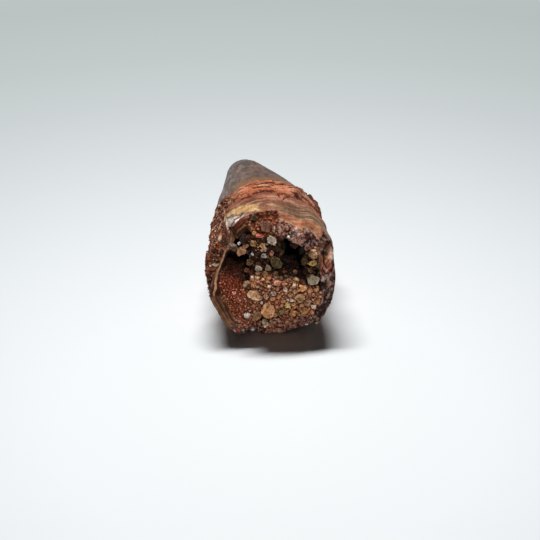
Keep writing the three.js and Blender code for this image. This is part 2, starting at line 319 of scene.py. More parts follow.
# closed stack of rings: cavity wall, broken face, outside; cell steps and noise along the axis rough the break,
# radial steps at the layer edges flake the outside
def buildTooth():
    length, columns = toothShape["length"], toothShape["columns"]
    cavityRings, rimRings, outerRings = (toothShape[key] for key in ("cavityRings", "rimRings", "outerRings"))
    turn = 2 * np.pi * np.arange(columns) / columns

    # cavity wall, from its deepest ring to the mouth
    inward = np.cos(np.pi / 2 * np.arange(1, cavityRings + 1) / cavityRings)
    ragged = 0.3 * noise(ringPoints(turn), 1.6, 3) + 0.16 * noise(ringPoints(turn), 0.55, 5)
    mouth = rimDepth(turn, 0) + ragged
    sCavity = mouth + (toothShape["cavityEnd"] - mouth) * inward[:, None] ** 1.2

    # broken face of the wall
    share = np.arange(1, rimRings)[:, None] / rimRings
    sRim = rimDepth(turn, share) + ragged
    inner = cavityRadius(sRim, turn)
    rRim = inner + share * (outerRadius(sRim, turn) - inner)

    # outside, from the break to the tip; rings lie closer on the root
    step = np.arange(outerRings) / (outerRings - 1)
    along = np.interp(step, [0, 0.42, 0.9, 1], [0, 0.27, 0.93, 0.9995])
    edge = rimDepth(turn, 1) + ragged
    sOuter = edge + (length - edge) * along[:, None]

    s = np.concatenate([sCavity, sRim, sOuter])
    radius = np.concatenate([cavityRadius(sCavity, turn), rRim, outerRadius(sOuter, turn)])
    share = np.concatenate([0 * sCavity - 0.02, share + 0 * sRim, 0 * sOuter + 1.02])
    angle = np.broadcast_to(turn, s.shape)
    degrees = np.degrees(angle)
    zone = partial(sector, angle)
    points = placeRound(s, angle, radius)
    fromBreak = np.where(share > 1, s - edge, 0)
    intoCavity = np.where(share < 0, s - mouth, 0)
    nearRim = smooth(1, 0, fromBreak) * smooth(1.4, 0, intoCavity)

    # roughness of the broken face: angular blocks on the right, fine fracture, streaked layers on the left
    blocks, bottom, plate = zone(-42, 34, 10), zone(232, 322, 8), zone(188, 236, 6)
    fracture = zone(35, 81, 6) * smooth(0.72, 0.6, share)
    bevel = zone(30, 82, 6) * smooth(0.6, 0.72, share)
    wanderFine = layeredNoise(points, 0.8, 13)
    blockPoints = points * (1, 0.5, 1) + 0.35 * wanderFine[..., None]
    blockGap, blockNumber = pebbles(blockPoints, 1.9, 11)[1:]
    blockCrack = blocks * smooth(0.09, 0, blockGap + 0.05 * wanderFine)
    chipGap, chipNumber = pebbles(blockPoints, 0.85, 12)[1:]
    chipCrack = blocks * smooth(0.16, 0, chipGap + 0.08 * wanderFine)
    gritNear, _, gritNumber = pebbles(points, 0.5, 21)
    grit = np.clip(fracture + bottom + 0.9 * blocks + 0.35, 0, 1)
    plateLayer = layeredNoise(pointsOf(5 * share, 0.9 * angle, 0), 0.5, 89)
    lamella = layeredNoise(pointsOf(s, 1.1 * angle, 2 * share), 0.42, 87)
    relief = 0.8 * blocks * (blockNumber - 0.4) + 0.6 * blockCrack
    relief = relief + 0.4 * blocks * (chipNumber - 0.5) + 0.25 * chipCrack
    relief = relief - 0.3 * grit * (1 - bevel) * (1 - plate) * (1 - gritNear)
    relief = relief + (0.16 + 0.16 * blocks) * layeredNoise(points, 1.3, 31) * (1 - 0.6 * bevel)
    relief = relief + 0.1 * bevel * lamella + 0.16 * plate * plateLayer

    # flaked layers on top of the root: each edge is a step down towards the break
    wander = 0.35 * noise(points, 2.1, 41) + 0.15 * noise(points, 0.7, 43)
    topLeft = zone(88, 146, 8)
    layers = 0.22 * topLeft * smooth(0.12, -0.12, s - tanBandTop(degrees) + wander)
    layers = layers + 0.28 * topLeft * smooth(0.12, -0.12, s - tanBandBottom(degrees) + wander)
    layers = layers + 0.16 * zone(20, 80, 8) * smooth(0.1, -0.1, s - 13 + wander)
    outside = smooth(0.98, 1, share)
    streakPoints = points * (1, 0.16, 1)
    rootRough = 0.1 * layeredNoise(streakPoints, 0.9, 51) + 0.06 * noise(points, 0.5, 53)
    moved = radius - layers * outside * smooth(22, 21, s) + outside * smooth(22.5, 19, s) * rootRough
    crown = outside * smooth(20.5, 23, s)
    wrinkle = 0.035 * layeredNoise(streakPoints, 0.6, 61) + 0.02 * noise(points, 1.6, 63)
    wear = 0.12 * smooth(44, 56, s) * layeredNoise(points, 5, 65, 2)
    moved = moved + crown * (wrinkle + wear) * smooth(length, 57, s)
    moved = moved + 0.12 * nearRim * noise(points, 0.8, 71) * (share > 0)
    rings = placeRound(s + relief * nearRim, angle, moved)

    colour = paintTooth(points, s, angle, share, wander, lamella, plateLayer, chipNumber, gritNumber)
    colour = paint(colour, nearRim, [("#2a1510", 0.85 * blockCrack + 0.6 * chipCrack)])
    # painted glints: where pale specks are mixed into the colour on the breaks
    sparkle = np.clip((fracture + 0.8 * bottom + 0.25 * blocks) * nearRim, 0, 1)
    poles = place(np.array([toothShape["cavityEnd"], length]), 0, 0)
    piece = makeStack("fossil_tooth", poles[:1], rings, poles[1:],
                      {"tone": colour, "rough": 1 - crown, "sparkle": sparkle})
    return piece, rings[cavityRings:cavityRings + rimRings - 1], turn


# colours laid over each other from place on the tooth: streaks follow the axis, bands follow the layer edges
def paintTooth(points, s, angle, share, wander, lamella, plateLayer, chipNumber, gritNumber):
    degrees = np.degrees(angle)
    zone = partial(sector, angle)
    streak = layeredNoise(points * (1, 0.05, 1), 0.42, 81)
    fineLamella = layeredNoise(pointsOf(2.2 * s, 1.4 * angle, 3 * share), 0.42, 88)
    cloud = layeredNoise(points, 3.2, 83)
    fine = layeredNoise(points, 0.7, 85)
    blotch = layeredNoise(points * (1, 0.22, 1), 0.8, 84)
    blank = np.zeros(points.shape)

    # crown enamel
    enamel = paint(blank, 1, [
        ("#4f392b", 1), ("#552f18", 0.6 * smooth(-0.3, 0.6, cloud) + 0.45 * zone(10, 90, 30)),
        ("#8c7a70", 0.75 * zone(120, 200, 25), 0.05, 0.5, streak),
        ("#76543e", 0.45 * zone(20, 120, 25), 0.1, 0.6, streak),
        ("#38261d", 0.85, 0.05, 0.5, -streak),
        ("#7a5c48", 0.4, 0.2, 0.8, noise(points * (0.5, 1, 0.5), 1.5, 82)),
        ("#3c251c", 0.55, 0, 0.6, blotch), ("#86695a", 0.3, 0.1, 0.5, -blotch),
        ("#554b46", 0.7, -0.5, 0.5, s - 47.8 - 0.6 * cloud),
        ("#30241e", 0.8 * band(s - 0.6 * cloud, 47.5, 0.9)),
        ("#80562c", 0.85 * zone(55, 118, 25), 30, 23, s + 2 * cloud),
        ("#7c5643", 0.6, 25.5, 22, s + cloud)])

    # root dentine: on the upper left a tan band and a cream one, each a layer lower than the last
    topLeft = zone(86, 146, 6)
    fromTop = s - tanBandTop(degrees) + wander
    belowTop = smooth(0.15, -0.15, fromTop)
    belowTan = smooth(0.2, -0.2, s - tanBandBottom(degrees) + wander)
    root = paint(blank, 1, [
        ("#7c5f4c", 1), ("#a58a72", 0.7, 0.1, 0.8, streak), ("#54392c", 0.7, 0.1, 0.8, -streak)])
    root = paint(root, topLeft, [
        ("#90583a", 0.9 * (1 - belowTop)), ("#5c4030", 0.8 * band(fromTop, 0.7, 0.6)),
        ("#c2947a", 0.7 * (1 - belowTop), 0.1, 0.6, lamella + 0.5 * fineLamella),
        ("#632c1c", 0.85 * (1 - belowTop), 0.1, 0.5, -lamella - 0.5 * fineLamella)])
    tanEnd = smooth(-1.5, 4, degrees - 99 - 7 * fine - 5 * wander)
    root = paint(root, topLeft * belowTop * (1 - belowTan) * tanEnd, [
        ("#c2965f", 1), ("#e6c79a", 0.8, 0, 0.6, fineLamella),
        ("#8e5f38", 0.75, 0.05, 0.6, -fineLamella)])
    cream = topLeft * belowTan
    root = paint(root, cream, [("#8a5a4c", 1), ("#c9a79a", 0.6, 0, 0.6, lamella)])
    root = paint(root, cream * smooth(117, 121, degrees + 6 * wander) * smooth(149, 145, degrees), [
        ("#b8927e", 1), ("#fff4e6", 0.95, -0.3, 0.15, fineLamella + 0.3 * fine),
        ("#5a3022", 0.85, 0.3, 0.6, -fineLamella - 0.3 * fine)])
    spots = zone(74, 81, 3) * band(s, 12.3, 1.3) + zone(89, 95, 3) * band(s, 14.1, 0.8)
    spots = spots + zone(76, 82, 3) * band(s, 15.2, 1.5)
    patch = zone(82, 98, 8) * band(s + 0.5 * wander, 14.6, 1.5)
    root = paint(root, 1, [
        ("#8a4a2a", 0.9 * zone(148, 158, 2) * belowTan),
        ("#8e5838", 0.8 * zone(84, 99, 3) * belowTop),
        ("#d0a07c", 0.4 * patch, -0.1, 0.5, fineLamella + 0.3 * fine),
        ("#8a3a2a", 0.85 * spots, -0.4, 0.3, fine),
        ("#5b221a", 0.9 * topLeft * band(s + wander, 16.6, 0.45))])
    right = zone(4, 79, 8)
    root = paint(root, right * smooth(13, 12.6, s + wander), [
        ("#704a2c", 0.9), ("#4a372b", 0.8, 0, 0.6, -lamella),
        ("#98724e", 0.6, 0.15, 0.7, lamella)])
    root = paint(root, right * smooth(12.8, 13.1, s + wander), [
        ("#85503a", 0.9), ("#b88a6c", 0.7, 0.1, 0.6, lamella),
        ("#7a3c2c", 0.8, 0.1, 0.6, -lamella)])
    root = paint(root, 1, [
        ("#3e2c22", 0.6 * right, 0.1, 0.6, -fineLamella),
        ("#cbb096", 0.5 * right, 0.25, 0.7, fineLamella),
        ("#b9b2ac", 0.6 * zone(0, 30, 12) * band(s, 9, 4.5), -0.1, 0.5, fineLamella),
        ("#83432f", 0.8, 15, 17, s + 0.6 * wander)])

    # broken face, upper right: a bevel of pale layers, and purple crumbs inside it
    face = paint(blank, 1, [("#6a4838", 1)])
    face = paint(face, zone(30, 82, 5) * smooth(0.62, 0.68, share + 0.05 * wander), [
        ("#d8865c", 1), ("#d8a47e", 0.7, 0.1, 0.7, lamella), ("#7a412d", 0.7, 0.1, 0.7, -lamella),
        ("#e0b492", 0.7, 0.2, 0.7, fineLamella), ("#6a3424", 0.7, 0.2, 0.7, -fineLamella),
        ("#8a7460", 0.7, 0.9, 0.97, share)])
    face = paint(face, zone(30, 80, 5), [("#cba387", 0.8 * band(share, 0.66, 0.035))])
    face = paint(face, zone(30, 82, 5) * smooth(0.64, 0.6, share), [
        ("#80483a", 1), ("#b8806e", 0.6, 0.62, 0.72, gritNumber),
        ("#46211a", 0.9, 0.4, 0.3, gritNumber), ("#dca48e", 0.9, 0.1, 0.55, fine),
        ("#2c130d", 0.9, 0.05, 0.45, -fine)])

    # right: blocks of three reds, greyer lower down
    blocks, lower = zone(-16, 33, 7), zone(312, 349, 5)
    blockZone = partial(sector, angle + 0.08 * wander)
    face = paint(face, 1, [
        ("#7c4a3e", blocks), ("#b9754e", blockZone(17, 31, 2)), ("#a35641", blockZone(5, 15, 2)),
        ("#86544a", blockZone(-11, 3, 2)), ("#5c3a30", 0.9 * lower),
        ("#7c584e", 0.8 * zone(-28, -8, 4), 0.6, 0.4, share + 0.1 * wander)])
    paleChips = 0.75 * (1 - 0.7 * lower) * (1 - 0.7 * smooth(0.82, 0.92, share))
    face = paint(face, np.maximum(blocks, lower), [
        ("#d8ae94", 0.7, 0.76, 0.86, chipNumber + 0.3 * fine),
        ("#46221a", 0.7, 0.32, 0.2, chipNumber + 0.3 * fine),
        ("#ecd6c8", paleChips, 0.3, 0.7, fine),
        ("#2c130d", 0.85 * (1 - 0.6 * lower), 0.2, 0.6, -fine)])
    face = paint(face, lower, [("#25110d", 0.4, 0.5, 0.3, chipNumber + 0.4 * fine)])

    # bottom: mauve grit; lower left: a plate of streaked layers with a painted highlight along its inner edge
    face = paint(face, zone(236, 312, 8), [
        ("#8a5344", 1), ("#c8a094", 0.8, 0.68, 0.78, gritNumber),
        ("#d2aa9a", 0.8, 0.1, 0.6, fine), ("#32140c", 0.9, 0.05, 0.4, -fine)])
    face = paint(face, zone(192, 232, 6), [
        ("#82553c", 1), ("#a07452", 0.8, 0.2, 0.6, plateLayer + 0.4 * fine),
        ("#402418", 0.85, 0.05, 0.5, -plateLayer - 0.3 * fine)])
    # painted highlight: a pale line along the plate's inner edge
    face = paint(face, zone(212, 240, 6), [("#d0a078", 0.85, 0.13, 0.06, share)])

    # left: a dark thin sheet with one pale line that narrows and wanders downwards; inside the line it is painted
    # red-brown, near black higher up, as shade
    lineAt = np.interp(degrees, [148, 161, 174, 184, 191], [0.92, 0.86, 0.78, 0.64, 0.72])
    lineWidth = np.interp(degrees, [148, 161, 168, 176, 190], [0.5, 0.5, 0.3, 0.17, 0.12])
    face = paint(face, zone(143, 192, 3), [
        ("#3c1c12", 1), ("#8a5a40", 0.5, 0.2, 0.6, plateLayer),
        # painted shade inside the pale line
        ("#44180f", 1, 0, 0.1, lineAt - share),
        ("#1c0d08", zone(136, 164, 8), 0, 0.1, lineAt - share),
        ("#d09a70", 0.95, 0, 0.6, band(share + 0.04 * wander, lineAt, lineWidth))])

    # upper left: a wedge of layers, red near its edge, with a brown cap; then the rust of the notch
    wedgeLayer = layeredNoise(pointsOf(5 * share, 1.2 * angle, 0.5 * s), 0.5, 90)
    face = paint(face, zone(113, 142, 3), [
        ("#96603c", 1), ("#d2a070", 0.85, 0, 0.4, wedgeLayer),
        ("#4a2416", 0.85, 0, 0.4, -wedgeLayer),
        ("#8a6a66", 0.9, 0.86, 0.93, share + 0.1 * wander),
        ("#9c3c28", 0.9 * band(share + 0.1 * wander, 0.78, 0.14)),
        ("#24110b", 0.9, 0.24, 0.1, share)])
    face = paint(face, zone(136, 146, 3), [
        ("#4e2c18", 1), ("#96683f", 0.7, 0.1, 0.6, fine),
        ("#b8875c", 0.8 * band(degrees, 137.5, 1.5))])
    face = paint(face, 1, [
        ("#8c3c1e", zone(84, 111, 2)), ("#e0d2c6", 0.9 * zone(86, 92, 1), 0.9, 0.96, share)])
    # inside the cavity: dark brown, painted near black as shade on the upper left where the hollow opens
    inside = paint(blank, 1, [("#4a2c20", 1), ("#1a0d08", 0.95 * zone(100, 176, 6))])

    where = share[..., None]
    outside = mix(root, enamel, smooth(21.2, 22.2, s + 0.4 * wander)[..., None])
    return np.where(where < 0, inside, np.where(where > 1, outside, face))


tooth, rimGrid, rimTurn = buildTooth()
print("tooth built:", len(tooth.data.polygons), "faces")


fillShape = {
    "radialSteps": 210,
    "columns": 300,
    "settleSteps": 4,
    "reach": 9.3,
    "flushDepth": 2,
    "massDepth": 6.4,
    "ledgeHeight": 0.75,
    "slopeRise": 1.15,
    "topRise": 0.62,
    "shelfDepth": 5.6,
    "notchDepth": 9.35,
    "intoWall": 0.12,
    "overWall": [(0.75, 240, 296, 16, 3.6, 4.6), (0.4, 162, 200, 8, 7, 8)],
    "backDepth": 16,
    "backEnd": 19.5,
    "hollows": [
        {"across": 3.5, "up": 2.5, "halfWidth": 1.9, "halfHeight": 3.5, "depth": 14.5},
        {"across": -5.5, "up": 2.3, "halfWidth": 2.4, "halfHeight": 3, "depth": 13.5},
    ],
}


# (x/a)^4+(y/b)^4 with a ragged edge: under 1 in a hollow
def hollowReach(hollow, across, up):
    ragged = 0.45 * noise(pointsOf(across, up, 0), 1.1, 103)
    sides = ((across - hollow["across"]) / hollow["halfWidth"]) ** 4
    return sides + ((up - hollow["up"]) / hollow["halfHeight"]) ** 4 + ragged


# height of the ledge's brow, and of the brow of the slope on the left, a straight line up to a limit
def ledgeBrow(across, up):
    brow = fillShape["ledgeHeight"] - 0.35 * smooth(-1, 3, across) - 1.5 * smooth(4.2, 6.2, across)
    return brow + 0.4 * noise(pointsOf(across, up, 0), 1.5, 101)


def slopeBrow(across):
    return np.minimum(-1.15 - 0.62 * (across + 3.3), 1)


# 1 in the dark strip just above the brow of the slope
def browShadow(across, up):
    return smooth(-2.6, -4, across) * smooth(-0.6, 0.1, up - slopeBrow(across)) * smooth(4, 3, up)


# painted shade in the hollows: how dark they are painted, 1 inside them, above the brow in front of each
def paintedHollowShade(across, up):
    above = (up - ledgeBrow(across, up) + 0.25, up - slopeBrow(across))
    shadeAmount = 0
    for hollow, height in zip(fillShape["hollows"], above):
        reach = hollowReach(hollow, across, np.maximum(up, hollow["up"]))
        shadeAmount = np.maximum(shadeAmount, smooth(1.7, 0.8, reach) * smooth(-0.15, 0.25, height))
    return shadeAmount


# a ledge (step of t*t*(3-2t)) over a flush floor, a slope up the left wall, two hollows with (x/a)^4+(y/b)^4
# outlines, a shelf on the right wall, a rise to the broken edge along the lower wall, a floor in the notch
def fillDepth(across, up):
    flat = pointsOf(across, up, 0)
    angle = np.arctan2(up / toothShape["sectionRatio"], across)
    radius = np.hypot(across, up / toothShape["sectionRatio"])
    overLedge, overSlope = up - ledgeBrow(across, up), up - slopeBrow(across)
    depth = mix(fillShape["flushDepth"], fillShape["massDepth"], smooth(-0.5, 0.45, overLedge))
    slope = 2 + fillShape["slopeRise"] * np.maximum(0, up + 2.4)
    depth = mix(depth, np.minimum(depth + 9, slope), smooth(-2.6, -4.2, across) * smooth(0.5, 0, overSlope))
    depth = depth + fillShape["topRise"] * np.maximum(0, up - 5.6)
    for hollow, above in zip(fillShape["hollows"], (overLedge, overSlope)):
        inside = smooth(1.3, 0.45, hollowReach(hollow, across, up)) * smooth(-0.1, 0.5, above)
        depth = mix(depth, hollow["depth"], inside)
    shelf = smooth(4.5, 5.3, across) * smooth(5.2, 4.4, up) * smooth(-1.3, -0.8, up)
    depth = mix(depth, fillShape["shelfDepth"] + 0.8 * noise(flat, 1.4, 105), shelf)
    wall = smooth(4.8, 6.9, radius) * (sector(angle, 174, 240, 12) + sector(angle, 252, 338, 12)).clip(0, 1)
    depth = mix(depth, rimDepth(angle, 0) + 0.5 - 0.75 * smooth(6.5, 7.4, radius), wall)
    depth = mix(depth, fillShape["notchDepth"], smooth(7.4, 9.2, radius) * sector(angle, 84, 111, 3))
    return depth + 0.22 * layeredNoise(flat, 0.9, 107)


# the room for sandstone: the cavity, a little into its wall, and out through the notch on top
def roomRadius(s, angle):
    notch = sector(angle, 82.5, 112.5, 0.7) * smooth(11, 10.6, s)
    over = fillShape["intoWall"] + endingBumps(s, angle, fillShape["overWall"])
    return mix(cavityRadius(s, angle) + over, fillShape["reach"], notch)


# polar sheet over the cavity's section, drawn in to the wall at its own depth, with a rough grainy surface, and
# a back inside the cavity that closes it
def buildFill():
    columns, ratio = fillShape["columns"], toothShape["sectionRatio"]
    share = np.linspace(0, 1, fillShape["radialSteps"] + 1)[1:]
    share, angle = np.meshgrid(share, 2 * np.pi * np.arange(columns) / columns, indexing="ij")
    radius = fillShape["reach"] * share
    for step in range(fillShape["settleSteps"]):
        depth = fillDepth(radius * np.cos(angle), radius * np.sin(angle) * ratio)
        radius = np.minimum(fillShape["reach"] * share, roomRadius(depth, angle))
    across, up = radius * np.cos(angle), radius * np.sin(angle) * ratio
    front = place(depth, across, up)
    near, gap, number = pebbles(front, 0.42, 111)
    depthRough = depth - 0.16 * (1 - near) + 0.08 * noise(front, 0.25, 113) + 0.14
    front = place(depthRough, across, up)
    cloud = layeredNoise(front, 2.4, 115)
    tone = paint(np.zeros(front.shape), 1, [
        ("#803820", 1), ("#a2694a", 0.8 * smooth(-3, 3, across), 0.5, -1.5, up),
        ("#b03c22", 0.9 * smooth(-2.8, -4.2, across), 3, 1, up), ("#a84a24", 0.9, 5, 6.2, up),
        ("#b87c58", 0.5, 0.55, 0.9, number),
        ("#50200f", 0.6 * smooth(0.5, 0.2, number) + 0.4 * smooth(0.1, 0.8, cloud)),
        # painted shade: near black deeper in on the left, in the hollows and in the strip over the slope's brow
        ("#140a06", 0.9 * smooth(3.4, 4.6, depth) * smooth(-3.9, -3.1, across), 6.2, 5.6, up),
        ("#120805", 0.97 * np.maximum(paintedHollowShade(across, up), 0.85 * browShadow(across, up))),
        ("#4a2214", 0.75, 0.5, 0.18, gap)])
    backDepth = np.maximum(depth[-1] + 1.5, fillShape["backDepth"])
    backRadius = np.minimum(radius[-1], cavityRadius(backDepth, angle[-1]) + 0.1)
    back = placeRound(backDepth, angle[-1], backRadius)
    rings = np.concatenate([front, back[None]])
    tones = np.concatenate([tone, np.broadcast_to(linear("#3a160d"), back.shape)[None]])
    startPole = place(fillDepth(np.zeros(1), np.zeros(1)), 0, 0)
    endPole = place(np.array([fillShape["backEnd"]]), 0, 0)
    piece = makeStack("pulp_cavity_sandstone", startPole, rings, endPole, {"tone": tones}, turned=True)
    return piece, front, pointsOf(across, up, depthRough)


fill, fillFront, fillPlaces = buildFill()
print("cavity sandstone built:", len(fill.data.polygons), "faces")


grainShape = {
    "lumps": 0.14,
    "cutAt": (0.5, 0.88),          # distance of the flat faces from the middle
    "squash": (0.7, 1.05),
    "coarseSquash": (0.9, 1.05),
    "fullness": 1.16,
    "sideCuts": 6,
    "sideCutAt": (0.68, 0.95),
    "flatAt": 0.5,
    # painted shade along with cement stain: how bright a grain is on its side in the cement, and on its exposed
    # side
    "shades": (0.26, 1.2),         # in the cement, and exposed
    "shadeSpread": (0.8, 1.16),
    "toneSpread": (0.78, 1.2),
}


# a convex form with about twice as many triangles as points, its points spread by the golden angle
def grainForm(pointCount):
    index = np.arange(pointCount) + 0.5
    height = 1 - 2 * index / pointCount
    turn = index * math.pi * (3 - math.sqrt(5))
    ring = np.sqrt(1 - height ** 2)
    form = bmesh.new()
    for point in pointsOf(ring * np.cos(turn), ring * np.sin(turn), height):
        form.verts.new(point)
    bmesh.ops.convex_hull(form, input=form.verts)
    bmesh.ops.recalc_face_normals(form, faces=form.faces)
    form.verts.index_update()
    base = np.array([vertex.co[:] for vertex in form.verts])
    faces = np.array([[vertex.index for vertex in face.verts] for face in form.faces])
    form.free()
    return base, faces


# bodies with all beyond a distance along a normal taken off, or a share of it: p - share*n*max(0, p.n - d)
def cutFlat(bodies, normal, distance, share=1):
    over = np.maximum(0, (bodies * normal).sum(-1) - distance)
    return bodies - (over * share)[..., None] * normal


# copies of one form: cut by random planes, squashed, turned by v + 2w(q x v) + 2q x (q x v) and put in place,
# with painted shade along with cement stain: paler on the exposed side than on the side in the cement; coarse
# ones are cut again round their sides, lumpy and mottled, with a painted highlight on the rim round their
# exposed face, and those marked flat have a broken face
def buildGrains(name, centres, radii, tones, outward, seed, pointCount=13, cuts=5, flat=None):
    rng = np.random.default_rng(seed)
    base, faces = grainForm(pointCount)
    count = len(centres)
    outward = outward[:, None]
    coarse = flat is not None
    bodies = base[None] * (1 + grainShape["lumps"] * rng.uniform(-1, 1, (count, len(base), 1)))
    for cut in range(cuts):
        normal = unit(rng.normal(size=(count, 1, 3)))
        bodies = cutFlat(bodies, normal, rng.uniform(*grainShape["cutAt"], (count, 1)))
    squash = grainShape["coarseSquash" if coarse else "squash"]
    bodies = bodies * rng.uniform(*squash, (count, 1, 3)) * grainShape["fullness"]
    turns = unit(rng.normal(size=(count, 1, 4)))
    swing = 2 * np.cross(turns[..., 1:], bodies)
    bodies = bodies + turns[..., :1] * swing + np.cross(turns[..., 1:], swing)
    if coarse:
        for cut in range(grainShape["sideCuts"]):
            normal = rng.normal(size=(count, 1, 3))
            normal = unit(normal - (normal * outward).sum(-1, keepdims=True) * outward)
            bodies = cutFlat(bodies, normal, rng.uniform(*grainShape["sideCutAt"], (count, 1)))
        bodies = cutFlat(bodies, outward, grainShape["flatAt"], flat[:, None])
    exposed = (unit(bodies) * outward).sum(-1)
    # painted shade along with cement stain: paler on the exposed side, darker towards the side in the cement
    shade = mix(*grainShape["shades"], smooth(-0.3, 0.5, exposed))
    shade = shade * rng.uniform(*grainShape["shadeSpread"], exposed.shape)
    if coarse:
        own = np.arange(count)[:, None, None]
        bodies = bodies * (1 + 0.15 * layeredNoise(bodies + 9 * own, 0.55, 301))[..., None]
        mottle = layeredNoise(bodies + 7 * own, 0.5, 303)
        # painted highlight: the sides round a coarse grain's exposed face are paler than its middle
        shade = shade * mix(1.35, 0.85, smooth(0.5, 0.85, exposed)) * (1 - 0.5 * smooth(0, 0.5, mottle))
    bodies = bodies * np.reshape(radii, (count, 1, -1)) + centres[:, None]
    bodies[..., 2] = np.maximum(bodies[..., 2], 0)
    tones = (tones[:, None] * shade[..., None]).reshape(-1, 3)
    allFaces = (faces[None] + len(base) * np.arange(count)[:, None, None]).reshape(-1, 3)
    return makePiece(name, bodies.reshape(-1, 3), [allFaces], {"tone": tones}, False)


# picks places on a grid with the chance of their area, larger grains first, keeping them apart, and a colour
# for each; the outward normals are the cross product of the grid's two directions
def scatter(grid, weight, sand, seed, keepOff=np.zeros((0, 4)), sizeWeight=1):
    rng = np.random.default_rng(seed)
    normals = np.cross(np.gradient(grid, axis=0), np.roll(grid, -1, axis=1) - np.roll(grid, 1, axis=1))
    area = np.linalg.norm(normals, axis=-1)
    normals = normals / np.maximum(area, 1e-9)[..., None]
    chance = (area * weight).ravel()
    count = sand["count"]
    picks = rng.choice(len(chance), size=count, p=chance / chance.sum())
    radii = mix(*sand["radii"], rng.random(count) ** 4)
    radii = radii * np.broadcast_to(sizeWeight, area.shape).ravel()[picks]
    order = np.argsort(-radii)
    picks, radii = picks[order], radii[order]
    outward = normals.reshape(-1, 3)[picks]
    centres = grid.reshape(-1, 3)[picks]
    centres = centres + outward * (radii * rng.uniform(-sand["sink"], sand["sink"], count))[:, None]
    kept = keepOff
    taken = []
    for index in range(count):
        away = np.linalg.norm(kept[:, :3] - centres[index], axis=1)
        if np.all(away >= sand["spacing"] * (kept[:, 3] + radii[index])):
            kept = np.concatenate([kept, [[*centres[index], radii[index]]]])
            taken.append(index)
    tones = np.array([linear(text) for text in sand["tones"]])
    share = np.array(list(sand["tones"].values()))
    tones = tones[rng.choice(len(tones), size=len(taken), p=share / sum(sand["tones"].values()))]
    tones = tones * rng.uniform(*grainShape["toneSpread"], (len(taken), 1))
    return centres[taken], radii[taken], tones, outward[taken], picks[taken], rng


